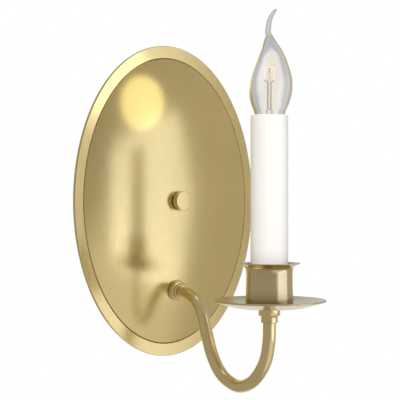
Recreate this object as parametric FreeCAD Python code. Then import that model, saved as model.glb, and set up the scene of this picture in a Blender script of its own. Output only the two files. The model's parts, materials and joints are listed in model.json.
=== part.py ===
import FreeCAD, Part
import math
import os

# Electric candle wall sconce. Millimetres, +Z up, wall plane Y = 0, the sconce stands out toward -Y.
# The origin is the centre of the backplate on the wall.

V = FreeCAD.Vector
os.makedirs("parts", exist_ok=True)

# ---- driving dimensions ----
PLATE_A = 71.8            # half width of the oval plate
PLATE_B = 98.4            # half height
RIM_SIDE = 6.7            # rim width at the sides
RIM_END = 8.0             # rim width at top and bottom
SHEET = 1.3               # brass sheet
EDGE = 1.7                # height of the rim's outer edge
FOOT = 1.6                # the rim's face falls to this height at the dome's foot
CROWN = 12.7              # distance of the dome's crown from the wall
DOME_POWER = 2.6          # fullness of the dome
GROOVE_HALF = 0.4         # half width of the groove pressed round the dome's foot
GROOVE_DEEP = 0.5
ARM_R = 3.8               # arm tube outer radius
ARM_WALL = 0.75
ARM_Z = -56.2             # height of the arm's axis where it leaves the plate
ARM_TILT = 10.0           # degrees the arm dips where it leaves the plate
REACH = 95.6              # candle axis, distance from the wall
ARM_STRAIGHT = 11.5       # length of the straight run in front of the plate
ARM_BEND = [(29.3, -62.3), (34.8, -69.9), (39.3, -81.2), (43.9, -92.6), (50.4, -102.1), (58.4, -107.7),
            (68.9, -110.3), (79.3, -107.3), (87.0, -100.8), (92.7, -92.0), (95.1, -82.0)]
LIMB_STRAIGHT = -76.0     # the arm is upright above this height
DISH_R = 33.0
DISH_Z = -62.2            # underside of the dish at its centre
SHEET_DISH = 1.0
CUP_Z = DISH_Z + SHEET_DISH + 0.02
CUP_TOP = -35.8
SLEEVE_R = 10.9
SLEEVE_WALL = 0.8
SLEEVE_TOP = 49.6
BULB_TIP = 111.7
BULB_FOOT = 13.0          # underside of the bulb's contact button
NIPPLE_R = 4.8            # threaded lamp nipple
STUD_R = 2.05             # centre stud, no. 8 thread
STUD_HOLE = 2.6
BAR_SPACING = 88.9        # slot spacing of the crossbar


def save(shape, name):
    shape.exportStep("parts/" + name + ".step")


def cyl(r, h, base, axis=V(0, 0, 1)):
    return Part.makeCylinder(r, h, base, axis)


def tube(r_out, r_in, h, base, axis=V(0, 0, 1)):
    return cyl(r_out, h, base, axis).cut(cyl(r_in, h, base, axis))


def ring(r_out, r_in, z0, z1):
    """Plain ring about the candle axis."""
    return tube(r_out, r_in, z1 - z0, V(0, -REACH, z0))


def turned(edges):
    """Solid of revolution about the candle axis from a closed list of edges drawn as (r, z)."""
    face = Part.Face(Part.Wire(edges))
    solid = face.revolve(V(0, 0, 0), V(0, 0, 1), 360)
    solid.translate(V(0, -REACH, 0))
    return solid


def rz(r, z):
    return V(r, 0, z)


def outline(points):
    """Closed wire from points, where a triple (r, z, "arc") marks the middle of an arc."""
    edges = []
    start = points[0]
    i = 1
    while i < len(points):
        p = points[i]
        if len(p) == 3:
            end = points[i + 1]
            edges.append(Part.Arc(rz(*start[:2]), rz(*p[:2]), rz(*end[:2])).toShape())
            start = end
            i += 2
        else:
            edges.append(Part.makeLine(rz(*start[:2]), rz(*p)))
            start = p
            i += 1
    if (start[0] - points[0][0]) ** 2 + (start[1] - points[0][1]) ** 2 > 1e-9:
        edges.append(Part.makeLine(rz(*start[:2]), rz(*points[0][:2])))
    return edges


def hex_prism(across_flats, h, base, axis):
    r = across_flats / math.sqrt(3)
    pts = [V(r * math.cos(math.radians(60 * k)), r * math.sin(math.radians(60 * k)), 0) for k in range(7)]
    solid = Part.Face(Part.makePolygon(pts)).extrude(V(0, 0, h))
    solid.Placement = FreeCAD.Placement(base, FreeCAD.Rotation(V(0, 0, 1), axis))
    return solid


# ---- backplate ----
def ellipse_wire(a, b, y):
    """Oval wire with half width a and half height b, b being the larger."""
    return Part.Wire(Part.Ellipse(V(0, y, b), V(a, y, 0), V(0, y, 0)).toShape())


def oval_taper(a, b, y_front, grow, y_deep):
    """Solid between the oval a, b at y_deep and the oval wider by grow at y_front."""
    return Part.makeLoft([ellipse_wire(a + grow, b + grow, y_front), ellipse_wire(a, b, y_deep)], True, True)


FOOT_TUCK = 0.3           # how far the dome's block runs into the rim


def rise(t):
    """Dome height above its foot as a share of full height, t = 0 at the centre and 1 at the foot."""
    return 1 - t ** DOME_POWER


def dome(a, b, foot, height, below):
    """Solid dome with oval foot half axes a and b; it also runs `below` under its foot."""
    steps = 14
    pts = [V(k / steps, 0, height * rise(k / steps)) for k in range(steps + 1)]
    crv = Part.BSplineCurve()
    crv.interpolate(pts)
    edges = [crv.toShape(), Part.makeLine(V(1, 0, 0), V(1, 0, -below)),
             Part.makeLine(V(1, 0, -below), V(0, 0, -below)), Part.makeLine(V(0, 0, -below), V(0, 0, height))]
    solid = Part.Face(Part.Wire(edges)).revolve(V(0, 0, 0), V(0, 0, 1), 360)
    m = FreeCAD.Matrix(a, 0, 0, 0,  0, 0, -1, -foot,  0, b, 0, 0,  0, 0, 0, 1)
    return solid.transformGeometry(m)


def surface_y(x, z):
    """Distance of the dome's outer face from the wall."""
    t = math.hypot(x / (PLATE_A - RIM_SIDE), z / (PLATE_B - RIM_END))
    return FOOT + (CROWN - FOOT) * rise(min(t, 1))


def backplate():
    a = PLATE_A - RIM_SIDE
    b = PLATE_B - RIM_END
    block = Part.Face(ellipse_wire(PLATE_A, PLATE_B, 0)).extrude(V(0, -EDGE, 0))
    rim = block.cut(Part.makeLoft([ellipse_wire(PLATE_A, PLATE_B, -EDGE), ellipse_wire(a, b, -FOOT)], True, True))
    front = -FOOT - FOOT_TUCK
    deep = -FOOT + GROOVE_DEEP
    groove = oval_taper(a, b, front, GROOVE_HALF, deep).cut(oval_taper(a, b, front, -GROOVE_HALF, deep))
    outer = rim.fuse(dome(a, b, FOOT, CROWN - FOOT, FOOT_TUCK)).cut(groove)
    hollow = dome(a - SHEET * 0.75, b - SHEET * 0.75, FOOT - SHEET, CROWN - FOOT, 4.0)
    plate = outer.cut(hollow)
    plate = plate.cut(cyl(STUD_HOLE, 30, V(0, 5, 0), V(0, -1, 0)))
    plate = plate.cut(cyl(NIPPLE_R + 0.3, 30, arm_point(-16), arm_dir()))
    return plate.removeSplitter()


# ---- arm ----
def arm_dir():
    t = math.radians(ARM_TILT)
    return V(0, -math.cos(t), -math.sin(t))


def arm_point(s):
    """Point on the arm's first straight axis, s mm in front of the plate's face."""
    face = V(0, -surface_y(0, ARM_Z), ARM_Z)
    return face + arm_dir() * s


def arm_path():
    """Centreline of the arm as a list of edges, from its rear end to the candle axis."""
    rear = arm_point(-ARM_REAR)
    bend_start = arm_point(ARM_STRAIGHT)
    bend_end = V(0, -REACH, LIMB_STRAIGHT)
    through = [bend_start] + [V(0, -d, z) for d, z in ARM_BEND] + [bend_end]
    lengths = [0.0]
    for p, q in zip(through[:-1], through[1:]):
        lengths.append(lengths[-1] + (q - p).Length)
    bend = Part.BSplineCurve()
    bend.interpolate(Points=through, Parameters=lengths, InitialTangent=arm_dir(), FinalTangent=V(0, 0, 1),
                     Scale=False)
    return [Part.makeLine(rear, bend_start), bend.toShape(), Part.makeLine(bend_end, V(0, -REACH, ARM_TOP))]


ARM_REAR = 3.2            # how far the tube runs behind the plate's face
ARM_TOP = -66.2           # top end of the tube, inside the coupling


def sweep(edges, r):
    """Round bar of radius r along a chain of edges."""
    path = Part.Wire(edges)
    first = path.OrderedEdges[0]
    start = first.valueAt(first.FirstParameter)
    way = first.tangentAt(first.FirstParameter)
    disc = Part.Wire(Part.Circle(start, way, r).toShape())
    return path.makePipeShell([disc], True, False)


def arm_tube():
    path = arm_path()
    return sweep(path, ARM_R).cut(sweep(path, ARM_R - ARM_WALL))


FLANGE = 3.2              # thickness of the collar's flange
STEP = 1.5                # thickness of the small ring in front


def arm_collar():
    """Turned collar: seat flange, small ring, threaded shank through the plate."""
    d = arm_dir()
    sole = cyl(6.1, FLANGE + 1.2, arm_point(-1.2), d)
    sole = sole.cut(dome_stock(0.02))
    neck = cyl(5.4, 0.5, arm_point(FLANGE), d)
    front = cyl(4.95, STEP, arm_point(FLANGE + 0.5), d)
    shank = cyl(NIPPLE_R, SHANK, arm_point(-SHANK), d)
    body = sole.fuse(neck).fuse(front).fuse(shank)
    return body.cut(cyl(ARM_R, 40, arm_point(-20), d)).removeSplitter()


SHANK = 6.4               # threaded length behind the plate's face


def dome_stock(gap):
    return dome(PLATE_A - RIM_SIDE, PLATE_B - RIM_END, FOOT, CROWN - FOOT + gap, FOOT_TUCK)


def rear_washer():
    return tube(6.6, NIPPLE_R, 0.8, arm_point(-SHEET - 1.2), arm_dir() * -1)


def rear_nut():
    d = arm_dir() * -1
    nut = hex_prism(13.0, 2.4, arm_point(-SHEET - 2.0), d)
    return nut.cut(cyl(NIPPLE_R, 10, arm_point(-SHEET), d))


# ---- candle end ----
COUPLING_R = 6.3
COUPLING_LOW_R = 4.85
COUPLING_FOOT = -70.4
NIPPLE_FOOT = -65.2


def arm_coupling():
    """Turned coupling: a sleeve brazed over the arm, tapped above for the lamp nipple."""
    bore = ARM_R - ARM_WALL
    pts = [(ARM_R, COUPLING_FOOT), (COUPLING_LOW_R, COUPLING_FOOT), (COUPLING_LOW_R, -67.0),
           (COUPLING_R, -66.0), (COUPLING_R, DISH_Z), (NIPPLE_R, DISH_Z), (NIPPLE_R, NIPPLE_FOOT),
           (bore, NIPPLE_FOOT), (bore, ARM_TOP), (ARM_R, ARM_TOP)]
    return turned(outline(pts))


DISH_FLAT = 14.2          # flat centre of the dish
DISH_RISE = 5.1           # rim top above the underside of the flat centre


def bobeche():
    t = SHEET_DISH
    z = DISH_Z
    top = z + DISH_RISE
    mid_r = (DISH_FLAT + DISH_R) / 2
    low_mid = z + (DISH_RISE - t) * 0.36
    pts = [(NIPPLE_R + 0.3, z), (DISH_FLAT, z), (mid_r, low_mid, "arc"), (DISH_R - 0.4, top - t),
           (DISH_R + 0.1, top - t * 0.45, "arc"), (DISH_R - 0.5, top), (mid_r - 0.2, low_mid + t, "arc"),
           (DISH_FLAT, z + t), (NIPPLE_R + 0.3, z + t)]
    return turned(outline(pts))


CUP_FOOT = 13.9
CUP_WAIST = 13.45
CUP_LIP = 17.9
CUP_WALL = 1.1
FOOT_RUN = 12.0           # the side narrows from the foot to the waist over this height
FLARE = 4.6               # height of the flared mouth


def candle_cup():
    z = CUP_Z
    w = CUP_WALL
    bore = NIPPLE_R + 0.3
    low = z + FOOT_RUN
    high = CUP_TOP - FLARE
    pts = [(bore, z), (CUP_FOOT - 0.8, z), (CUP_FOOT - 0.2, z + 0.25, "arc"), (CUP_FOOT, z + 0.9),
           (CUP_WAIST, low), (CUP_WAIST, high), (CUP_WAIST + 0.7, high + 2.2, "arc"), (15.7, CUP_TOP - 1.3),
           (CUP_LIP - 0.2, CUP_TOP - 0.7), (CUP_LIP, CUP_TOP - 0.35, "arc"), (CUP_LIP - 0.3, CUP_TOP),
           (14.7, CUP_TOP - 0.9, "arc"), (12.7, CUP_TOP - 3.2), (CUP_WAIST - w, high), (CUP_WAIST - w, low),
           (CUP_FOOT - w, z + w), (bore, z + w)]
    return turned(outline(pts))


CUP_FLOOR = CUP_Z + CUP_WALL
NUT_T = 2.6


def cup_nut():
    nut = hex_prism(13.0, NUT_T, V(0, -REACH, CUP_FLOOR), V(0, 0, 1))
    return nut.cut(cyl(NIPPLE_R, 10, V(0, -REACH, CUP_FLOOR - 1)))


NIPPLE_TOP = CUP_FLOOR + 6.0


def socket_nipple():
    return ring(NIPPLE_R, 3.2, NIPPLE_FOOT, NIPPLE_TOP)


SOCKET_FOOT = 2.0         # underside of the phenolic body
SOCKET_R = 8.4
SOCKET_LEN = 28.0
SOCKET_FLAT = 7.6         # distance of the body's flat from the candle axis
STRAP_T = 1.0
STRAP_W = 6.0
RIVET_Z = SOCKET_FOOT + 2.0
RIVET_R = 1.25
LEAD_X = 3.9              # where the leads enter the body, either side of the axis


def off_axis(y):
    """Y coordinate of a point y mm from the candle axis toward the wall."""
    return -REACH + y


def socket_bracket():
    """Bent steel strap: a foot tapped for the nipple and a rib up to the socket body."""
    foot_z = CUP_FLOOR + NUT_T
    foot = ring(7.2, NIPPLE_R, foot_z, foot_z + 2.4)
    link = Part.makeBox(STRAP_W, 3.4, 2.4, V(-STRAP_W / 2, off_axis(5.2), foot_z))
    rib = Part.makeBox(STRAP_W, STRAP_T, SOCKET_FOOT + 4.5 - foot_z, V(-STRAP_W / 2, off_axis(SOCKET_FLAT), foot_z))
    eye = cyl(RIVET_R, 6, V(0, off_axis(12), RIVET_Z), V(0, -1, 0))
    return foot.fuse(link).fuse(rib).cut(eye).removeSplitter()


def socket_body():
    """Phenolic body: a cup for the shell, a floor with two lead holes, and a flat for the strap."""
    body = ring(SOCKET_R, 6.75, SOCKET_FOOT, SOCKET_FOOT + SOCKET_LEN)
    floor = cyl(6.75, 4.0, V(0, -REACH, SOCKET_FOOT))
    body = body.fuse(floor)
    flat = Part.makeBox(20, 10, 60, V(-10, off_axis(SOCKET_FLAT), SOCKET_FOOT - 5))
    eye = cyl(RIVET_R, 9, V(0, off_axis(12), RIVET_Z), V(0, -1, 0))
    body = body.cut(flat).cut(eye)
    for side in (-1, 1):
        body = body.cut(cyl(1.5, 10, V(side * LEAD_X, -REACH, SOCKET_FOOT - 1)))
    return body.removeSplitter()


SHELL_IN = 6.05           # inner radius of the screw shell
SHELL_Z = SOCKET_FOOT + 6.5


def socket_screw_shell():
    """Brass screw shell with a solder tab over the neutral lead."""
    shell = ring(6.6, SHELL_IN, SHELL_Z, SOCKET_FOOT + 27.2)
    tab = Part.makeBox(3.2, 2.4, 0.4, V(3.2, off_axis(-1.2), SHELL_Z - 0.4))
    return shell.fuse(tab).removeSplitter()


CONTACT_Z = SOCKET_FOOT + 4.0
CONTACT_T = 0.4


def socket_centre_contact():
    """Bent brass tongue under the bulb's button."""
    top_z = BULB_FOOT - CONTACT_T - 0.02
    tail = Part.makeBox(2.6, 3.0, CONTACT_T, V(-5.6, off_axis(-1.5), CONTACT_Z))
    bend = Part.makeBox(CONTACT_T, 3.0, top_z + CONTACT_T - CONTACT_Z, V(-3.4, off_axis(-1.5), CONTACT_Z))
    top = Part.makeBox(5.2, 3.0, CONTACT_T, V(-3.4, off_axis(-1.5), top_z))
    return tail.fuse(bend).fuse(top).removeSplitter()


def socket_rivet():
    """Rivet that holds the body to the strap."""
    face = SOCKET_FLAT + STRAP_T
    head = cyl(2.1, 0.7, V(0, off_axis(face + 0.7), RIVET_Z), V(0, -1, 0))
    stem = cyl(RIVET_R, STRAP_T + 4.4, V(0, off_axis(face), RIVET_Z), V(0, -1, 0))
    return head.fuse(stem).removeSplitter()


def candle_sleeve():
    r = SLEEVE_R
    w = SLEEVE_WALL
    z0 = CUP_FLOOR
    top = SLEEVE_TOP
    pts = [(r - w, z0), (r, z0), (r, top - 0.5), (r - 0.15, top - 0.15, "arc"), (r - 0.45, top),
           (r - w, top)]
    return turned(outline(pts))


# ---- bulb ----
CAP_R = 5.97
CAP_Z0 = BULB_FOOT + 3.4
CAP_Z1 = BULB_FOOT + 17.6
GLASS_T = 0.7
GLASS_END = SLEEVE_TOP + 48.2   # where the drawn tip begins


def glass_curve(inset):
    """Envelope of the flame-shaped glass as (r, z) points, from the neck to the start of the drawn tip."""
    neck = CAP_Z1
    top = SLEEVE_TOP
    pts = [(5.3, neck - 3.5), (5.32, neck - 1.0), (5.75, neck + 2.5), (7.4, neck + 10.5), (8.9, top + 1.2),
           (10.9, top + 6.5), (12.4, top + 12.4), (12.75, top + 16.6), (12.1, top + 22.4), (9.1, top + 31.3),
           (5.95, top + 38.2), (3.4, top + 43.6), (2.1, GLASS_END)]
    return [(r - inset, z) for r, z in pts]


def glass_solid(inset, z_end):
    """Solid inside the envelope's outline, moved in by inset and carried up to z_end."""
    crv = Part.BSplineCurve()
    pts = glass_curve(inset)
    crv.interpolate([rz(*p) for p in pts])
    first = pts[0]
    last = pts[-1]
    edges = [crv.toShape()]
    if z_end > last[1]:
        edges.append(Part.makeLine(rz(*last), rz(last[0], z_end)))
    edges.append(Part.makeLine(rz(last[0], z_end), rz(0, z_end)))
    edges.append(Part.makeLine(rz(0, z_end), rz(0, first[1])))
    edges.append(Part.makeLine(rz(0, first[1]), rz(*first)))
    return turned(edges)


TIP_LEAN = 5.4            # how far the tip stands off the candle axis
TIP_R = 1.2


def bulb_glass():
    """Blown glass with a drawn tip that leans to one side."""
    body = glass_solid(0, GLASS_END + 0.4).cut(glass_solid(GLASS_T, GLASS_END))
    z0 = GLASS_END + 0.3
    end_z = BULB_TIP - TIP_R
    steps = 6
    rings = []
    for k in range(steps + 1):
        u = k / steps
        r = 2.1 + (TIP_R - 2.1) * u
        slope = 2.2 * TIP_LEAN * u ** 1.2 / (end_z - z0)
        lean = V(slope, 0, 1)
        centre = V(TIP_LEAN * u ** 2.2, -REACH, z0 + (end_z - z0) * u)
        rings.append(Part.Wire(Part.Circle(centre, lean, r).toShape()))
    drawn = Part.makeLoft(rings, True, False)
    bead = Part.makeSphere(TIP_R, V(TIP_LEAN, -REACH, end_z))
    return body.fuse(drawn).fuse(bead).removeSplitter()


def bulb_cap():
    """Screw cap: skirt around the glass neck and a closed lower end round the insulator."""
    z0 = CAP_Z0
    z1 = CAP_Z1
    pts = [(5.67, z1), (CAP_R, z1), (CAP_R, z0 + 1.2), (CAP_R - 0.35, z0 + 0.35, "arc"), (CAP_R - 1.2, z0),
           (3.6, z0 - 1.2), (3.6, z0 - 0.8), (CAP_R - 1.35, z0 + 0.3), (CAP_R - 0.3, z0 + 1.4),
           (CAP_R - 0.3, z1)]
    return turned(outline(pts[1:]))


def bulb_insulator():
    z0 = CAP_Z0
    pts = [(2.2, z0 - 2.0), (3.3, z0 - 2.0), (3.6, z0 - 1.2), (3.6, z0 - 0.8), (CAP_R - 1.35, z0 + 0.3),
           (CAP_R - 1.35, z0 + 0.9), (1.0, z0 + 0.9), (1.0, z0 - 2.0)]
    return turned(outline(pts))


def bulb_contact():
    z = BULB_FOOT
    pts = [(0, z), (1.4, z), (2.1, z + 0.5, "arc"), (2.3, z + 1.35), (0, z + 1.35)]
    return turned(outline(pts))


STEM_Z0 = CAP_Z1 - 2.6
STEM_TOP = SLEEVE_TOP + 4.0
LEAD_TOP = SLEEVE_TOP + 20.0    # where the filament hangs on its leads
LEAD_SPREAD = 3.9               # distance of the filament's ends from the axis
ARBOR_TOP = SLEEVE_TOP + 24.5
LOOP_TOP = SLEEVE_TOP + 27.6
WIRE_R = 0.22


def bulb_stem():
    """Flared glass stem sealed in the neck, with a pinched top and a thin arbor."""
    pts = [(0, STEM_Z0), (4.3, STEM_Z0), (3.2, STEM_Z0 + 4.0, "arc"), (2.3, STEM_Z0 + 9.0),
           (1.9, STEM_TOP - 1.5), (1.3, STEM_TOP - 0.3, "arc"), (0.7, STEM_TOP), (0.5, ARBOR_TOP), (0, ARBOR_TOP)]
    return turned(outline(pts))


def wire_run(points, r):
    """Round wire through a list of points, with a small ball at each corner."""
    out = None
    for p, q in zip(points[:-1], points[1:]):
        way = q - p
        leg = cyl(r, way.Length, p, way)
        out = leg if out is None else out.fuse(Part.makeSphere(r * 1.06, p)).fuse(leg)
    return out


def bulb_point(x, z):
    return V(x, -REACH, z)


def bulb_wires():
    """Two lead-in wires and the support wire on the arbor."""
    runs = []
    for side in (-1, 1):
        runs.append(wire_run([bulb_point(side * 1.35, STEM_TOP), bulb_point(side * 1.35, LEAD_TOP - 1.0),
                              bulb_point(side * LEAD_SPREAD, LEAD_TOP)], WIRE_R))
    hook = LOOP_TOP - ARBOR_TOP - WIRE_R - 0.06
    runs.append(cyl(WIRE_R, hook, bulb_point(0, ARBOR_TOP + 0.03)))
    return Part.makeCompound(runs)


def bulb_filament():
    """Single loop from lead to lead over the support wire."""
    lift = 0.5
    shoulder = LOOP_TOP - 0.6
    return wire_run([bulb_point(-LEAD_SPREAD, LEAD_TOP + lift), bulb_point(-LEAD_SPREAD, shoulder),
                     bulb_point(-0.7, LOOP_TOP), bulb_point(0.7, LOOP_TOP),
                     bulb_point(LEAD_SPREAD, shoulder), bulb_point(LEAD_SPREAD, LEAD_TOP + lift)], WIRE_R)


# ---- wires through the arm ----
LEAD_R = 1.1
LEAD_SIDE = 1.25          # each wire's distance from the arm's centre plane
BARE_R = 0.5


def lead_path(side):
    """Arm centreline, run back to the wall and up to the socket body, then out to one side."""
    arm = arm_path()
    rear = arm_point(-ARM_REAR)
    back = arm_point(-(surface_y(0, ARM_Z) - 2.2))
    top = V(0, -REACH, ARM_TOP)
    rise_z = NIPPLE_TOP + 12
    turn_z = SOCKET_FOOT - 14
    edges = [Part.makeLine(back, rear)] + arm
    edges.append(Part.makeLine(top, V(0, -REACH, rise_z)))
    shifted = [e.copy() for e in edges]
    for e in shifted:
        e.translate(V(side * LEAD_SIDE, 0, 0))
    lean = Part.BSplineCurve()
    lean.interpolate([V(side * LEAD_SIDE, -REACH, rise_z), V(side * LEAD_X, -REACH, turn_z)],
                     Tangents=[V(0, 0, 30), V(0, 0, 30)], TangentFlags=[True, True])
    shifted.append(lean.toShape())
    shifted.append(Part.makeLine(V(side * LEAD_X, -REACH, turn_z), V(side * LEAD_X, -REACH, SOCKET_FOOT + 2.6)))
    return shifted


def lead(side):
    return sweep(lead_path(side), LEAD_R)


def bare_ends():
    """Stripped ends of both wires, at the wall and at the socket."""
    ends = []
    for side, top in ((-1, CONTACT_Z), (1, SHELL_Z - 0.4)):
        z0 = SOCKET_FOOT + 2.6
        ends.append(cyl(BARE_R, top - z0, V(side * LEAD_X, -REACH, z0)))
        back = arm_point(-(surface_y(0, ARM_Z) - 2.2)) + V(side * LEAD_SIDE, 0, 0)
        ends.append(cyl(BARE_R, 1.8, back, arm_dir() * -1))
    return Part.makeCompound(ends)


# ---- mounting hardware behind the plate ----
BAR_HALF = 53.0
BAR_W = 16.0
BAR_T = 1.5
BAR_STEP = 2.2            # how far the raised middle stands off the wall
BAR_FLAT = 27.0           # where the ends lie on the wall
BAR_RAISED = 24.0
SLOT_R = 2.4
SLOT_LEN = 12.0
GROUND_X = -17.0
GROUND_R = 2.3


def crossbar():
    """Steel strip with two slots, a raised middle and two tapped holes."""
    s = BAR_STEP
    t = BAR_T
    front = [(-BAR_HALF, t), (-BAR_FLAT, t), (-BAR_RAISED, s + t), (BAR_RAISED, s + t), (BAR_FLAT, t), (BAR_HALF, t)]
    back = [(BAR_HALF, 0), (BAR_FLAT + 0.4, 0), (BAR_RAISED + 0.4, s), (-BAR_RAISED - 0.4, s), (-BAR_FLAT - 0.4, 0),
            (-BAR_HALF, 0)]
    pts = [V(x, -d, -BAR_W / 2) for x, d in front + back]
    pts.append(pts[0])
    bar = Part.Face(Part.makePolygon(pts)).extrude(V(0, 0, BAR_W))
    reach = SLOT_LEN / 2 - SLOT_R
    for side in (-1, 1):
        x = side * BAR_SPACING / 2
        for end in (-reach, reach):
            bar = bar.cut(cyl(SLOT_R, 10, V(x + end, 4, 0), V(0, -1, 0)))
        bar = bar.cut(Part.makeBox(2 * reach, 10, 2 * SLOT_R, V(x - reach, -6, -SLOT_R)))
    bar = bar.cut(cyl(STUD_R, 10, V(0, 0, 0), V(0, -1, 0)))
    return bar.cut(cyl(GROUND_R, 10, V(GROUND_X, 0, 0), V(0, -1, 0))).removeSplitter()


BAR_FRONT = BAR_STEP + BAR_T
STUD_END = 16.2


def centre_stud():
    """Machine screw from behind the bar; its thread carries the knob."""
    head = cyl(3.8, 1.6, V(0, -(BAR_STEP - 1.6), 0), V(0, -1, 0))
    shank = cyl(STUD_R, STUD_END - BAR_STEP, V(0, -BAR_STEP, 0), V(0, -1, 0))
    return head.fuse(shank).removeSplitter()


def stud_locknut():
    nut = hex_prism(8.7, 3.0, V(0, -BAR_FRONT, 0), V(0, -1, 0))
    return nut.cut(cyl(STUD_R, 10, V(0, -BAR_FRONT + 2, 0), V(0, -1, 0)))


def ground_screw():
    head = hex_prism(7.9, 2.2, V(GROUND_X, -BAR_FRONT - 0.6, 0), V(0, -1, 0))
    flange = cyl(5.0, 0.6, V(GROUND_X, -BAR_FRONT, 0), V(0, -1, 0))
    shank = cyl(GROUND_R, BAR_T + 1.6, V(GROUND_X, -BAR_FRONT, 0), V(0, 1, 0))
    slot = Part.makeBox(9, 1.2, 1.0, V(GROUND_X - 4.5, -BAR_FRONT - 3.0, -0.5))
    return head.fuse(flange).fuse(shank).cut(slot).removeSplitter()


# ---- knob ----
KNOB_R = 6.1
KNOB_LEN = 4.6
WASHER_T = 0.45
KNOB_BORE = 2.12


def knob_washer():
    return tube(5.0, KNOB_BORE + 0.1, WASHER_T, V(0, -CROWN - 0.02, 0), V(0, -1, 0))


def knob():
    """Round knob with a blind tapped bore."""
    y0 = CROWN + WASHER_T + 0.04
    body = cyl(KNOB_R, KNOB_LEN, V(0, -y0, 0), V(0, -1, 0))
    front = [e for e in body.Edges if abs(e.BoundBox.YMax + y0 + KNOB_LEN) < 1e-6]
    body = body.makeChamfer(0.45, front)
    return body.cut(cyl(KNOB_BORE, KNOB_LEN - 1.2, V(0, -y0, 0), V(0, -1, 0)))


def build_all():
    save(backplate(), "backplate")
    save(crossbar(), "crossbar")
    save(centre_stud(), "centre_stud")
    save(stud_locknut(), "stud_locknut")
    save(ground_screw(), "ground_screw")
    save(knob(), "knob")
    save(knob_washer(), "knob_washer")
    save(arm_collar(), "arm_collar")
    save(arm_tube(), "arm_tube")
    save(rear_washer(), "rear_washer")
    save(rear_nut(), "rear_nut")
    save(arm_coupling(), "arm_coupling")
    save(bobeche(), "bobeche")
    save(candle_cup(), "candle_cup")
    save(socket_nipple(), "socket_nipple")
    save(cup_nut(), "cup_nut")
    save(socket_bracket(), "socket_bracket")
    save(socket_body(), "socket_body")
    save(socket_rivet(), "socket_rivet")
    save(socket_screw_shell(), "socket_screw_shell")
    save(socket_centre_contact(), "socket_centre_contact")
    save(lead(-1), "wire_hot")
    save(lead(1), "wire_neutral")
    save(bare_ends(), "wire_ends")
    save(candle_sleeve(), "candle_sleeve")
    save(bulb_glass(), "bulb_glass")
    save(bulb_cap(), "bulb_cap")
    save(bulb_insulator(), "bulb_insulator")
    save(bulb_contact(), "bulb_contact")
    save(bulb_stem(), "bulb_stem")
    save(bulb_wires(), "bulb_wires")
    save(bulb_filament(), "bulb_filament")


build_all()
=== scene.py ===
import json
import math

import bmesh
import bpy
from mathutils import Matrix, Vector


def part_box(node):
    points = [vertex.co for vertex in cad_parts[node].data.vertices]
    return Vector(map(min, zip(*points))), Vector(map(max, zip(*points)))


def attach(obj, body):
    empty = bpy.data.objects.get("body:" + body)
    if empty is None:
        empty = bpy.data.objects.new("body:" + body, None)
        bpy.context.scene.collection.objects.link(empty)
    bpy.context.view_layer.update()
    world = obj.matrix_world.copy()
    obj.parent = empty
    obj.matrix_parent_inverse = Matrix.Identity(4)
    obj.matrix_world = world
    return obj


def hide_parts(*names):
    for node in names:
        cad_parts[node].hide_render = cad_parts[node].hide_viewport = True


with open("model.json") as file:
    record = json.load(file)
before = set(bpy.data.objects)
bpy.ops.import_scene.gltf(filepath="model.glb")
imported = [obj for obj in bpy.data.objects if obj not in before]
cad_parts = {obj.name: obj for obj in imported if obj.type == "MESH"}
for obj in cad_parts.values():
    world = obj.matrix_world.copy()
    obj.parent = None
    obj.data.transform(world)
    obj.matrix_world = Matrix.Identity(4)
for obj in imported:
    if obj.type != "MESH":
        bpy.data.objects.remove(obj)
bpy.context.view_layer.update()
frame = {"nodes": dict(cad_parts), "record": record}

# Electric candle wall sconce. Metres, +Z up, wall plane Y = 0, the sconce stands out toward -Y.

MM = 0.001


# ---------------------------------------------------------------- where things are, from the frame
def box(node):
    """Low and high corner of a CAD node at rest."""
    lo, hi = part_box(node)
    return Vector(lo), Vector(hi)


def middle(node):
    """Middle of a CAD node's box."""
    lo, hi = box(node)
    return (lo + hi) / 2


PLATE_LO, PLATE_HI = box("backplate")
PLATE_A = PLATE_HI.x
PLATE_B = PLATE_HI.z
CROWN = -PLATE_LO.y
SLEEVE_LO, SLEEVE_HI = box("candle_sleeve")
AXIS = middle("candle_sleeve")
REACH = -AXIS.y
UP = Vector((0, 0, 1))
OUT = Vector((0, -1, 0))
SLOTS = {entry["node"]: entry["material_slot"] for entry in frame["record"]["subparts"]}


def on_axis(z):
    """Point on the candle's axis at height z."""
    return Vector((0, AXIS.y, z))


# ---------------------------------------------------------------- mesh helpers
def skin(rings, wrap=False, caps=False):
    """Mesh through rings of equal point counts; wrap joins the last ring to the first."""
    bm = bmesh.new()
    rows = [[bm.verts.new(p) for p in ring] for ring in rings]
    pairs = list(zip(rows[:-1], rows[1:]))
    if wrap:
        pairs.append((rows[-1], rows[0]))
    for a, b in pairs:
        n = len(a)
        for k in range(n):
            bm.faces.new((a[k], a[(k + 1) % n], b[(k + 1) % n], b[k]))
    if caps:
        bm.faces.new(list(reversed(rows[0])))
        bm.faces.new(rows[-1])
    bmesh.ops.recalc_face_normals(bm, faces=bm.faces)
    return bm


def circle(centre, axis, r, count):
    """Ring of points round an axis."""
    turn = axis.to_track_quat("Z", "X")
    ring = []
    for k in range(count):
        a = 2 * math.pi * k / count
        ring.append(centre + turn @ Vector((r * math.cos(a), r * math.sin(a), 0)))
    return ring


def smooth(points, per=8):
    """Catmull-Rom curve through (r, z) points."""
    pts = [points[0]] + list(points) + [points[-1]]
    out = []
    for i in range(1, len(pts) - 2):
        p0, p1, p2, p3 = pts[i - 1:i + 3]
        for k in range(per):
            t = k / per
            out.append(tuple(0.5 * (2 * b + (c - a) * t + (2 * a - 5 * b + 4 * c - d) * t * t
                                    + (3 * b - a - 3 * c + d) * t ** 3)
                             for a, b, c, d in zip(p0, p1, p2, p3)))
    out.append(tuple(points[-1]))
    return out


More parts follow.
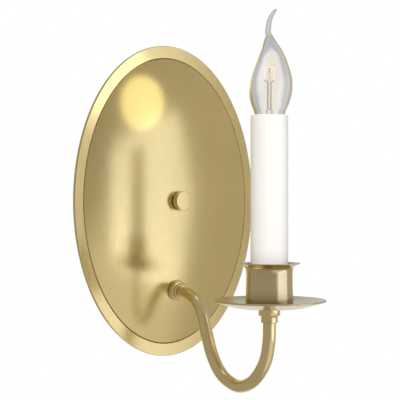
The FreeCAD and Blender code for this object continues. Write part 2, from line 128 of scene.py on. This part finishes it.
def lathe(profile, foot, axis=UP, count=128):
    """Turn a closed profile of (radius, distance along axis) in millimetres about an axis through foot."""
    rings = [circle(foot + axis * (h * MM), axis, r * MM, count) for r, h in profile]
    return skin(rings, wrap=True)


def piece(name, bm, node, body, mat, sharp=32):
    """Finish a mesh as a piece that stands for one CAD node."""
    mesh = bpy.data.meshes.new(name)
    bm.to_mesh(mesh)
    bm.free()
    for face in mesh.polygons:
        face.use_smooth = True
    mesh.set_sharp_from_angle(angle=math.radians(sharp))
    mesh.materials.append(mat)
    obj = bpy.data.objects.new(name, mesh)
    bpy.context.scene.collection.objects.link(obj)
    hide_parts(node)
    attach(obj, body)
    return obj


# ---------------------------------------------------------------- material helpers
def new_material(name):
    """Empty material: itself, its node tree and its shader."""
    mat = bpy.data.materials.new(name)
    mat.use_nodes = True
    tree = mat.node_tree
    return mat, tree, tree.nodes["Principled BSDF"]


def place(tree, scale, stretch=(1, 1, 1)):
    """Object-space coordinates, scaled and stretched."""
    coord = tree.nodes.new("ShaderNodeTexCoord")
    mapping = tree.nodes.new("ShaderNodeMapping")
    mapping.inputs["Scale"].default_value = [scale * s for s in stretch]
    tree.links.new(coord.outputs["Object"], mapping.inputs["Vector"])
    return mapping.outputs["Vector"]


def noise(tree, vector, detail):
    """Cloudy value from 0 to 1."""
    node = tree.nodes.new("ShaderNodeTexNoise")
    node.inputs["Scale"].default_value = 1.0
    node.inputs["Detail"].default_value = detail
    node.inputs["Roughness"].default_value = 0.5
    tree.links.new(vector, node.inputs["Vector"])
    return node.outputs["Fac"]


def spread(tree, value, low, high, start=0.3, end=0.7):
    """Map a noise value onto a range."""
    node = tree.nodes.new("ShaderNodeMapRange")
    node.inputs["From Min"].default_value = start
    node.inputs["From Max"].default_value = end
    node.inputs["To Min"].default_value = low
    node.inputs["To Max"].default_value = high
    tree.links.new(value, node.inputs["Value"])
    return node.outputs["Result"]


def tint(tree, value, dark, light):
    """Colour that goes from dark to light with a value."""
    ramp = tree.nodes.new("ShaderNodeValToRGB")
    ramp.color_ramp.elements[0].position = 0.3
    ramp.color_ramp.elements[0].color = (*dark, 1)
    ramp.color_ramp.elements[1].position = 0.7
    ramp.color_ramp.elements[1].color = (*light, 1)
    tree.links.new(value, ramp.inputs["Fac"])
    return ramp.outputs["Color"]


def bump(tree, shader, value, depth, strength=1.0):
    """Tilt the shader's surface by a height value."""
    node = tree.nodes.new("ShaderNodeBump")
    node.inputs["Strength"].default_value = strength
    node.inputs["Distance"].default_value = depth
    tree.links.new(value, node.inputs["Height"])
    tree.links.new(node.outputs["Normal"], shader.inputs["Normal"])


def shade(colour, k):
    """Colour times k, kept below white."""
    return tuple(min(1.0, c * k) for c in colour)


def painted_crevice_shade(tree, colour, reach, darkest):
    """Painted shade: darken a colour by ambient occlusion where the surface is hemmed in, in grooves, seams
    and where parts meet.
    """
    hemmed = tree.nodes.new("ShaderNodeAmbientOcclusion")
    hemmed.samples = 8
    hemmed.inputs["Distance"].default_value = reach
    shade_in = spread(tree, hemmed.outputs["AO"], darkest, 1.0, 0.5, 0.92)
    mix = tree.nodes.new("ShaderNodeMixRGB")
    mix.blend_type = "MULTIPLY"
    mix.inputs["Fac"].default_value = 1.0
    tree.links.new(colour, mix.inputs["Color1"])
    tree.links.new(shade_in, mix.inputs["Color2"])
    return mix.outputs["Color"]


def metal(name, colour, rough, grain=600, stretch=(1, 1, 1), depth=0.000004, vary=0.06, spread_rough=0.25,
          painted_shade_reach=0.0, darkest=0.4):
    """Metal with fine grain, faint cloudy tone and uneven polish, and painted shade in its grooves and
    contacts when given a reach.
    """
    mat, tree, bsdf = new_material(name)
    bsdf.inputs["Metallic"].default_value = 1.0
    cloud = noise(tree, place(tree, 45), 4)
    tone = tint(tree, cloud, shade(colour, 1 - vary), shade(colour, 1 + vary * 0.5))
    # Painted shade: the colour darkens in grooves and where parts meet, by ambient occlusion.
    if painted_shade_reach:
        tone = painted_crevice_shade(tree, tone, painted_shade_reach, darkest)
    tree.links.new(tone, bsdf.inputs["Base Color"])
    fine = noise(tree, place(tree, grain, stretch), 2)
    polish = spread(tree, fine, rough * (1 - spread_rough), rough * (1 + spread_rough))
    tree.links.new(polish, bsdf.inputs["Roughness"])
    bump(tree, bsdf, fine, depth)
    return mat


def plastic(name, colour, rough, depth=0.00001, vary=0.05, coat=0.0):
    """Moulded or painted surface, faintly uneven."""
    mat, tree, bsdf = new_material(name)
    cloud = noise(tree, place(tree, 60), 3)
    tree.links.new(tint(tree, cloud, shade(colour, 1 - vary), colour), bsdf.inputs["Base Color"])
    fine = noise(tree, place(tree, 900), 3)
    tree.links.new(spread(tree, fine, rough * 0.85, rough * 1.15), bsdf.inputs["Roughness"])
    bsdf.inputs["Coat Weight"].default_value = coat
    bump(tree, bsdf, fine, depth)
    return mat


def fine_brass(name, colour, rough, painted_shade_reach, darkest):
    """Brushed and lacquered brass with a very fine grain, and painted shade in its grooves and contacts."""
    return metal(name, colour, rough, grain=1500, depth=0.000001, vary=0.04, painted_shade_reach=painted_shade_reach, darkest=darkest)


def clear_glass(name, colour, bend=1.47):
    """Blown glass with slight waviness; a lower bend for thin hollow tube."""
    mat, tree, bsdf = new_material(name)
    bsdf.inputs["Base Color"].default_value = (*colour, 1)
    bsdf.inputs["Transmission Weight"].default_value = 1.0
    bsdf.inputs["IOR"].default_value = bend
    bsdf.inputs["Roughness"].default_value = 0.0
    wave = noise(tree, place(tree, 60), 1)
    bump(tree, bsdf, wave, 0.00003, 0.4)
    return mat


def glowing(name, colour, heat, power):
    """Dark wire with a pale warm glow."""
    mat, tree, bsdf = new_material(name)
    bsdf.inputs["Base Color"].default_value = (*colour, 1)
    bsdf.inputs["Emission Color"].default_value = (*heat, 1)
    bsdf.inputs["Emission Strength"].default_value = power
    fine = noise(tree, place(tree, 4000), 2)
    tree.links.new(spread(tree, fine, 0.35, 0.6), bsdf.inputs["Roughness"])
    return mat


# Colours of the metals, then of the surroundings as the metal sees them, then as the glass does.
SATIN = (0.86, 0.73, 0.39)
POLISHED = (0.90, 0.78, 0.48)
CUP_TONE = (0.78, 0.68, 0.46)
STEEL = (0.62, 0.62, 0.60)
ROOM = (0.37, 0.328, 0.258)
ROOM_SIDE = (0.47, 0.42, 0.335)
TABLE = (0.70, 0.65, 0.56)
SWEEP = (0.83, 0.83, 0.82)
SWEEP_HIGH = (0.60, 0.62, 0.68)
BEHIND = (0.97, 0.97, 0.97)
BEHIND_EDGE = (0.55, 0.55, 0.56)
BEHIND_WARM = (1.0, 0.92, 0.78)


def build_materials():
    """One procedural material for each slot of the record, and the cup's, dish's and knob's own brass."""
    return {
        # The brasses get painted shade by ambient occlusion: a dark line in the plate's groove, darker
        # seams at the arm's collar and coupling, the dish and the knob, and a darker foot where the cup
        # stands on the dish.
        "satin_brass": metal("satin_brass", SATIN, 0.22, grain=1400, stretch=(1, 1, 0.1), depth=0.000001,
                             vary=0.04, spread_rough=0.14, painted_shade_reach=1.2 * MM, darkest=0.45),
        "polished_brass": fine_brass("polished_brass", POLISHED, 0.2, 1.0 * MM, 0.6),
        "knob_brass": fine_brass("knob_brass", SATIN, 0.24, 1.0 * MM, 0.4),
        "dish_brass": fine_brass("dish_brass", CUP_TONE, 0.2, 1.0 * MM, 0.6),
        "cup_brass": fine_brass("cup_brass", CUP_TONE, 0.17, 12.0 * MM, 0.44),
        "zinc_steel": metal("zinc_steel", STEEL, 0.34, vary=0.14),
        "green_screw": metal("green_screw", (0.10, 0.36, 0.15), 0.3, vary=0.12),
        "phenolic": plastic("phenolic", (0.025, 0.022, 0.02), 0.45),
        "shell_brass": metal("shell_brass", (0.83, 0.68, 0.36), 0.22, vary=0.12),
        "sleeve_white": plastic("sleeve_white", (0.91, 0.915, 0.915), 0.32, vary=0.015, depth=0.000004,
                                coat=0.25),
        "bulb_glass": clear_glass("bulb_glass", (0.955, 0.955, 0.962)),
        "stem_glass": clear_glass("stem_glass", (0.985, 0.975, 0.96), bend=1.05),
        "cap_brass": metal("cap_brass", (0.80, 0.66, 0.38), 0.25, vary=0.1),
        "insulator": plastic("insulator", (0.02, 0.02, 0.025), 0.12),
        "solder": metal("solder", (0.68, 0.68, 0.69), 0.38, grain=1500, vary=0.15, depth=0.00002),
        "lead_wire": metal("lead_wire", (0.50, 0.48, 0.45), 0.3, vary=0.1),
        "tungsten": glowing("tungsten", (0.2, 0.17, 0.13), (1.0, 0.80, 0.68), 1.0),
        "wire_black": plastic("wire_black", (0.02, 0.02, 0.02), 0.5),
        "wire_white": plastic("wire_white", (0.80, 0.80, 0.77), 0.5),
        "copper": metal("copper", (0.80, 0.45, 0.28), 0.3, vary=0.15),
        "fibre": plastic("fibre", (0.66, 0.63, 0.55), 0.6, vary=0.12),
    }


# ---------------------------------------------------------------- backplate
RIM_SIDE = 6.7 * MM
RIM_END = 8.0 * MM
SHEET = 1.3 * MM
EDGE = 1.7 * MM
FOOT = 1.6 * MM
GROOVE_HALF = 0.4 * MM
GROOVE_DEEP = 0.5 * MM
DOME_POWER = 2.6


def oval(a, b, d, count=256):
    """Oval ring of half width a and half height b, d in front of the wall."""
    return [Vector((a * math.cos(2 * math.pi * k / count), -d, b * math.sin(2 * math.pi * k / count)))
            for k in range(count)]


def dome_height(t):
    """Height of the dome over the wall at share t of the way out to the groove."""
    return FOOT + (CROWN - FOOT) * (1 - t ** DOME_POWER)


def backplate(mat):
    """Pressed oval sheet: nearly flat rim with an eased edge, sharp groove, dome, and the hollow behind."""
    a = PLATE_A - RIM_SIDE
    b = PLATE_B - RIM_END
    hole = 2.6 * MM / a
    ease = 0.35 * MM
    rings = [oval(PLATE_A, PLATE_B, 0), oval(PLATE_A, PLATE_B, EDGE - ease),
             oval(PLATE_A - ease * 0.1, PLATE_B - ease * 0.1, EDGE - ease * 0.6),
             oval(PLATE_A - ease * 0.4, PLATE_B - ease * 0.4, EDGE - ease * 0.25),
             oval(PLATE_A - ease, PLATE_B - ease, EDGE)]
    rim_steps = 6
    for k in range(1, rim_steps + 1):
        u = k / rim_steps
        rings.append(oval(PLATE_A - ease - (RIM_SIDE - ease - GROOVE_HALF) * u,
                          PLATE_B - ease - (RIM_END - ease - GROOVE_HALF) * u, EDGE + (FOOT - EDGE) * u))
    rings.append(oval(a, b, FOOT - GROOVE_DEEP))
    steps = 72
    foot_t = 1 - GROOVE_HALF / a
    for k in range(steps + 1):
        t = foot_t - (foot_t - hole) * k / steps
        rings.append(oval(a * t, b * t, dome_height(t)))
    inner_a = a - SHEET * 0.75
    inner_b = b - SHEET * 0.75
    for k in range(steps, -1, -1):
        t = 1 - (1 - hole) * k / steps
        rings.append(oval(inner_a * t, inner_b * t, dome_height(t) - SHEET))
    return piece("plate", skin(rings, wrap=True), "backplate", "frame", mat, sharp=12)


# ---------------------------------------------------------------- arm
ARM_R = 3.8 * MM
ARM_WALL = 0.75 * MM
ARM_TILT = math.radians(10.0)
ARM_Z = -56.2 * MM
ARM_STRAIGHT = 11.5 * MM
ARM_BEND = [(29.3, -62.3), (34.8, -69.9), (39.3, -81.2), (43.9, -92.6), (50.4, -102.1), (58.4, -107.7),
            (68.9, -110.3), (79.3, -107.3), (87.0, -100.8), (92.7, -92.0), (95.1, -82.0)]
LIMB_STRAIGHT = -76.0
ARM_TOP = -66.2
ARM_DIR = Vector((0, -math.cos(ARM_TILT), -math.sin(ARM_TILT)))


def plate_face(z):
    """Point on the plate's outer face, on the middle line at height z."""
    return Vector((0, -dome_height(abs(z) / (PLATE_B - RIM_END)), z))


def arm_point(s):
    """Point s in front of the plate's face on the arm's first straight axis."""
    return plate_face(ARM_Z) + ARM_DIR * s


def arm_line():
    """Centre points of the arm from behind the plate to inside the coupling."""
    bend_start = arm_point(ARM_STRAIGHT)
    before = arm_point(ARM_STRAIGHT - 8 * MM)
    through = [(-before.y / MM, before.z / MM), (-bend_start.y / MM, bend_start.z / MM)] + ARM_BEND
    through += [(REACH / MM, LIMB_STRAIGHT), (REACH / MM, ARM_TOP)]
    line = [arm_point(-3.0 * MM)]
    for d, z in smooth(through, 10):
        line.append(Vector((0, -d * MM, z * MM)))
    return line


def arm_tube(mat):
    """Bent tube, hollow, swept along the arm's line."""
    line = arm_line()
    side = Vector((1, 0, 0))
    outer = []
    inner = []
    for i, p in enumerate(line):
        way = (line[min(i + 1, len(line) - 1)] - line[max(i - 1, 0)]).normalized()
        lift = way.cross(side)
        turns = [2 * math.pi * k / 64 for k in range(64)]
        ring = [side * math.cos(a) + lift * math.sin(a) for a in turns]
        outer.append([p + v * ARM_R for v in ring])
        inner.append([p + v * (ARM_R - ARM_WALL) for v in ring])
    return piece("arm", skin(outer + inner[::-1], wrap=True), "arm_tube", "frame", mat)


def arm_collar(mat):
    """Turned collar against the plate: flange with eased edges, groove, small ring."""
    r = ARM_R / MM + 0.03
    profile = [(r, -6.4), (4.5, -6.4), (4.8, -6.1), (4.8, -1.1), (6.0, -1.1), (6.1, -0.9), (6.1, 2.2)]
    profile += smooth([(6.1, 2.2), (6.05, 2.75), (5.8, 3.1), (5.4, 3.2)], 4)[1:]
    profile += [(5.15, 3.3), (5.05, 3.6)]
    profile += smooth([(5.05, 3.6), (5.12, 4.1), (5.0, 4.8), (4.6, 5.2)], 4)[1:]
    profile += [(r, 5.2)]
    return piece("collar", lathe(profile, arm_point(0), ARM_DIR), "arm_collar", "frame", mat)


# ---------------------------------------------------------------- candle end
def arm_coupling(mat):
    """Narrow socket over the arm's end, widening under the dish."""
    z0 = box("arm_coupling")[0].z
    profile = [(3.83, 0), (4.65, 0), (4.85, 0.2), (4.85, 3.3), (4.95, 3.45), (6.15, 4.3), (6.3, 4.55)]
    profile += [(6.3, 7.95), (6.1, 8.18), (4.9, 8.18), (4.9, 5.2), (3.83, 5.2)]
    return piece("coupling", lathe(profile, on_axis(z0)), "arm_coupling", "frame", mat)


def dish(mat):
    """Wide shallow drip dish with a rolled edge."""
    z0 = box("bobeche")[0].z
    under = smooth([(14.2, 0.0), (18.7, 0.42), (23.6, 1.48), (28.7, 2.9), (32.6, 4.1)])
    lip = smooth([(32.6, 4.1), (32.95, 4.4), (33.0, 4.75), (32.75, 5.05), (32.4, 5.1)], 5)
    top = smooth([(32.4, 5.1), (28.3, 3.85), (23.4, 2.48), (18.5, 1.42), (14.2, 1.0)])
    profile = [(5.1, 0.0), (9.6, 0.0)] + under + lip[1:] + top[1:] + [(9.6, 1.0), (5.1, 1.0)]
    return piece("dish", lathe(profile, on_axis(z0), count=192), "bobeche", "frame", mat)


def cup(mat):
    """Straight cup with a flared mouth; its floor stops a hair short of the sleeve that stands on it."""
    z0 = box("candle_cup")[0].z
    floor_top = (SLEEVE_LO.z - z0) / MM - 0.02
    foot = smooth([(13.1, 0.0), (13.7, 0.2), (13.9, 0.9)], 5)
    side = smooth([(13.9, 0.9), (13.75, 5.0), (13.55, 9.5), (13.45, 14.0), (13.45, 20.3)], 6)
    side += smooth([(13.45, 20.3), (13.75, 21.9), (14.5, 23.1), (15.7, 24.05), (17.5, 24.75)], 6)[1:]
    lip = smooth([(17.5, 24.75), (17.82, 24.9), (17.9, 25.1), (17.75, 25.36), (17.5, 25.38)], 4)
    inside = smooth([(17.5, 25.38), (15.0, 24.7), (13.3, 23.3), (12.5, 20.8), (12.4, 14.5), (12.7, 8.5),
                     (12.8, floor_top)], 6)
    profile = [(5.1, 0.0)] + foot + side[1:] + lip[1:] + inside[1:] + [(5.1, floor_top)]
    return piece("cup", lathe(profile, on_axis(z0), count=160), "candle_cup", "frame", mat)


def sleeve(mat):
    """Plain white candle sleeve with an eased top edge."""
    z0 = SLEEVE_LO.z
    top = (SLEEVE_HI.z - z0) / MM
    r = SLEEVE_HI.x / MM
    edge = smooth([(r, top - 0.55), (r - 0.12, top - 0.15), (r - 0.5, top)], 5)
    profile = [(r - 0.8, 0.0), (r, 0.0)] + edge + [(r - 0.8, top)]
    return piece("sleeve", lathe(profile, on_axis(z0)), "candle_sleeve", "sleeve", mat)


# ---------------------------------------------------------------- bulb
def glass_stations():
    """Stations up the glass in millimetres: radius, height, wall, lean to the right; a solid tip."""
    neck = box("bulb_cap")[1].z / MM
    top = SLEEVE_HI.z / MM
    tip = box("bulb_glass")[1].z / MM
    body = [(5.3, neck - 3.5, 0.7, 0.0), (5.32, neck - 1.0, 0.7, 0.0), (5.75, neck + 2.5, 0.7, 0.0),
            (7.4, neck + 10.5, 0.75, 0.1), (8.9, top + 1.2, 0.85, 0.3), (10.9, top + 6.5, 0.95, 0.55),
            (12.35, top + 12.4, 0.95, 0.8), (12.7, top + 16.6, 0.9, 0.95), (12.1, top + 22.4, 0.85, 1.15),
            (9.1, top + 31.3, 0.8, 1.6), (6.2, top + 37.5, 0.8, 1.7), (3.2, top + 43.6, 1.2, 0.3),
            (2.1, top + 46.4, 1.9, -0.6)]
    drawn = [(1.75, top + 49.0, -1.1), (1.5, top + 55.0, 0.2), (1.3, tip - 2.6, 3.0), (1.0, tip - 0.9, 4.6)]
    last = body[-1]
    return smooth(body), smooth([(last[0], last[1], last[3])] + drawn)


def glass_ring(r, z, x):
    """Level ring of glass, radius r at height z, its centre x to the right of the candle's axis."""
    return circle(on_axis(z * MM) + Vector((x * MM, 0, 0)), UP, r * MM, 96)


def bulb_glass(mat):
    """Blown envelope with a thin wall, closed at the top by the drawn tip that bends to the right."""
    body, drawn = glass_stations()
    inner = [glass_ring(r - wall, z, x) for r, z, wall, x in body]
    outer = [glass_ring(r, z, x) for r, z, wall, x in body]
    tip = [glass_ring(r, z, x) for r, z, x in drawn[1:]]
    r, z, x = drawn[-1]
    for share in (0.35, 0.7, 0.92):
        tip.append(glass_ring(r * math.sqrt(1 - share * share), z + 0.9 * share, x + 0.6 * share))
    rings = inner[::-1] + outer + tip
    return piece("envelope", skin(rings, caps=True), "bulb_glass", "bulb", mat, sharp=60)


def bulb_cap(mat):
    """Screw cap with rolled thread ridges."""
    lo, hi = box("bulb_cap")
    height = (hi.z - lo.z) / MM
    r = hi.x / MM
    profile = [(3.6, 0.02), (3.6, 0.4), (4.6, 1.5), (r - 0.3, 2.6), (r - 0.45, height), (r - 0.1, height)]
    turns = 4
    pitch = 2.54
    ridge = []
    for k in range(turns * 8 + 1):
        z = height - 1.6 - k * pitch / 8
        ridge.append((r - 0.02 - 0.24 * (0.5 - 0.5 * math.cos(2 * math.pi * k / 8)), z))
    profile += ridge + [(r - 0.35, 1.6), (r - 1.2, 1.2)]
    return piece("cap", lathe(profile, on_axis(lo.z)), "bulb_cap", "bulb", mat)


# ---------------------------------------------------------------- knob
def knob(mat):
    """Round knob: a bead against the plate, a groove, and a flat-faced disc with an eased edge."""
    lo, hi = box("knob")
    r = hi.x / MM
    length = (hi.y - lo.y) / MM
    back = Vector((0, hi.y, 0))
    profile = [(2.12, 0.0), (r - 0.5, 0.0), (r - 0.3, 0.2), (r - 0.15, 1.0), (r - 0.1, 2.6)]
    profile += smooth([(r - 0.1, 2.6), (r - 0.2, 2.95), (r - 0.4, 3.15), (r - 0.7, 3.2)], 4)[1:]
    profile += [(r - 0.75, 3.25), (r - 0.75, 3.4), (r - 0.15, 3.45), (r, 3.6), (r, length - 0.35)]
    edge = [(r, length - 0.35), (r - 0.1, length - 0.1), (r - 0.3, length - 0.02), (r - 0.5, length)]
    profile += smooth(edge, 4)[1:]
    profile += [(0.01, length)]
    blind = [(0.01, length - 1.2), (2.12, length - 1.2)]
    return piece("knob_turned", lathe(profile + blind, back, OUT), "knob", "knob", mat)


# ---------------------------------------------------------------- the rest keeps its CAD shape
def dress(materials):
    """Give every CAD node the material of its slot."""
    for node, obj in frame["nodes"].items():
        obj.data.materials.clear()
        obj.data.materials.append(materials[SLOTS[node]])


# ---------------------------------------------------------------- studio
VIEW_TURN = math.radians(-39.8)
VIEW_BACK = 0.7963
VIEW_SIDE = 0.02109
VIEW_UP = 0.00056
LENS = 112.5
LOOK = Vector((-math.sin(VIEW_TURN), math.cos(VIEW_TURN), 0))
RIGHT = Vector((LOOK.y, -LOOK.x, 0))
SIDE_RADIANCE = 0.765
FRONT_RADIANCE = 3.75
TOP_RADIANCE = 1.3
GLOW_RADIANCE = 0.87


def camera():
    """Level camera to the object's left, turned toward the wall."""
    cam = bpy.data.cameras.new("camera")
    cam.lens = LENS
    cam.sensor_width = 36.0
    cam.clip_start = 0.05
    obj = bpy.data.objects.new("camera", cam)
    obj.location = RIGHT * VIEW_SIDE - LOOK * VIEW_BACK + UP * VIEW_UP
    obj.rotation_euler = (math.pi / 2, 0, VIEW_TURN)
    bpy.context.scene.collection.objects.link(obj)
    bpy.context.scene.camera = obj


def panel(name, location, aim, width, height, radiance, colour=(1, 1, 1), glossy=True):
    """Rectangular soft box of an even brightness, upright unless it looks straight down."""
    light = bpy.data.lights.new(name, "AREA")
    light.shape = "RECTANGLE"
    light.size = width
    light.size_y = height
    light.energy = math.pi * width * height * radiance
    light.color = colour
    obj = bpy.data.objects.new(name, light)
    obj.location = location
    obj.rotation_euler = (location - aim).to_track_quat("Z", "Y").to_euler()
    obj.visible_glossy = glossy
    bpy.context.scene.collection.objects.link(obj)
    return obj


def patch(tree, coord, toward, start, full):
    """1 inside a round patch of the surroundings about a direction, falling to 0 outside."""
    facing = tree.nodes.new("ShaderNodeVectorMath")
    facing.operation = "DOT_PRODUCT"
    facing.inputs[1].default_value = toward
    fall = tree.nodes.new("ShaderNodeMapRange")
    fall.interpolation_type = "SMOOTHSTEP"
    fall.inputs["From Min"].default_value = start
    fall.inputs["From Max"].default_value = full
    tree.links.new(coord.outputs["Generated"], facing.inputs[0])
    tree.links.new(facing.outputs["Value"], fall.inputs["Value"])
    return fall.outputs["Result"]


def blend(tree, share, low, high):
    """Mix from low to high, each a colour or another node's output."""
    mix = tree.nodes.new("ShaderNodeMixRGB")
    tree.links.new(share, mix.inputs["Fac"])
    for socket, value in (("Color1", low), ("Color2", high)):
        if isinstance(value, tuple):
            mix.inputs[socket].default_value = (*value, 1)
        else:
            tree.links.new(value, mix.inputs[socket])
    return mix.outputs["Color"]


def room():
    """World: white to the camera, a warm grey room to the metal, a grey and white card to the glass."""
    world = bpy.data.worlds.new("studio")
    bpy.context.scene.world = world
    world.use_nodes = True
    tree = world.node_tree
    tree.nodes.clear()
    out = tree.nodes.new("ShaderNodeOutputWorld")
    shown = tree.nodes.new("ShaderNodeBackground")
    shown.inputs["Color"].default_value = (1, 1, 1, 1)
    around = tree.nodes.new("ShaderNodeBackground")
    coord = tree.nodes.new("ShaderNodeTexCoord")
    tone = blend(tree, patch(tree, coord, (RIGHT + LOOK * 0.6).normalized(), 0.3, 0.95), ROOM, ROOM_SIDE)
    table = Vector((0.16, -0.80, -0.58)).normalized()
    tone = blend(tree, patch(tree, coord, table, 0.74, 0.95), tone, TABLE)
    tone = blend(tree, patch(tree, coord, LOOK, 0.96, 0.997), tone, SWEEP)
    tone = blend(tree, patch(tree, coord, (LOOK - UP * 0.58).normalized(), 0.80, 0.95), tone, SWEEP)
    tone = blend(tree, patch(tree, coord, (LOOK + UP * 0.30).normalized(), 0.93, 0.985), tone, SWEEP_HIGH)
    path = tree.nodes.new("ShaderNodeLightPath")
    past_bulb = (LOOK + RIGHT * 0.0565 + UP * 0.094).normalized()
    behind = blend(tree, patch(tree, coord, past_bulb, 0.9965, 0.9999), BEHIND_EDGE, BEHIND)
    behind = blend(tree, patch(tree, coord, past_bulb, 0.9990, 0.99995), behind, BEHIND_WARM)
    tone = blend(tree, path.outputs["Is Transmission Ray"], tone, behind)
    mix = tree.nodes.new("ShaderNodeMixShader")
    tree.links.new(tone, around.inputs["Color"])
    tree.links.new(path.outputs["Is Camera Ray"], mix.inputs["Fac"])
    tree.links.new(around.outputs[0], mix.inputs[1])
    tree.links.new(shown.outputs[0], mix.inputs[2])
    tree.links.new(mix.outputs[0], out.inputs["Surface"])


def studio():
    """One soft box to the camera's right, and fills for the sleeve and floor that metal does not mirror."""
    room()
    origin = Vector((0, 0, 0))
    centre = RIGHT * 0.37 - LOOK * 0.262 + UP * -0.005
    panel("side_box", centre, centre - RIGHT, 0.40, 0.356, SIDE_RADIANCE, (0.86, 0.895, 1.0))
    front = -LOOK * 1.6 - RIGHT * 0.1 + UP * 0.5
    panel("front_fill", front, origin, 1.2, 1.2, FRONT_RADIANCE, (0.96, 0.98, 1.0), glossy=False)
    panel("top_fill", UP * 1.3, origin, 1.6, 1.6, TOP_RADIANCE, glossy=False)


def bulb_glow():
    """Warm round lamp between bulb and plate, seen only where the metal mirrors it."""
    r = 26.8 * MM
    light = bpy.data.lights.new("bulb_glow", "POINT")
    light.energy = 4 * math.pi ** 2 * r * r * GLOW_RADIANCE
    light.color = (1.0, 0.91, 0.58)
    light.shadow_soft_size = r
    obj = bpy.data.objects.new("bulb_glow", light)
    obj.location = Vector((-0.0065, -0.0515, 0.0815))
    obj.visible_camera = False
    obj.visible_transmission = False
    bpy.context.scene.collection.objects.link(obj)


def floor():
    """Pale floor well below the sconce."""
    bm = skin([circle(Vector((0, -0.25, -0.32)), UP, r, 64) for r in (0.85, 0.4, 0.01)])
    mesh = bpy.data.meshes.new("floor")
    bm.to_mesh(mesh)
    bm.free()
    mesh.materials.append(plastic("floor_paint", (0.82, 0.82, 0.81), 0.6, vary=0.02))
    obj = bpy.data.objects.new("floor", mesh)
    obj.visible_glossy = False
    bpy.context.scene.collection.objects.link(obj)


def main():
    """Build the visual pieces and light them."""
    materials = build_materials()
    dress(materials)
    backplate(materials["satin_brass"])
    arm_tube(materials["polished_brass"])
    arm_collar(materials["polished_brass"])
    arm_coupling(materials["polished_brass"])
    dish(materials["dish_brass"])
    cup(materials["cup_brass"])
    sleeve(materials["sleeve_white"])
    glass = bulb_glass(materials["bulb_glass"])
    glass.visible_shadow = False
    glass.visible_glossy = False
    for node in ("bulb_stem", "bulb_wires", "bulb_filament"):
        frame["nodes"][node].visible_glossy = False
    bulb_cap(materials["cap_brass"])
    knob(materials["knob_brass"])
    camera()
    studio()
    bulb_glow()
    floor()
    bpy.context.scene.view_settings.view_transform = "Standard"


main()
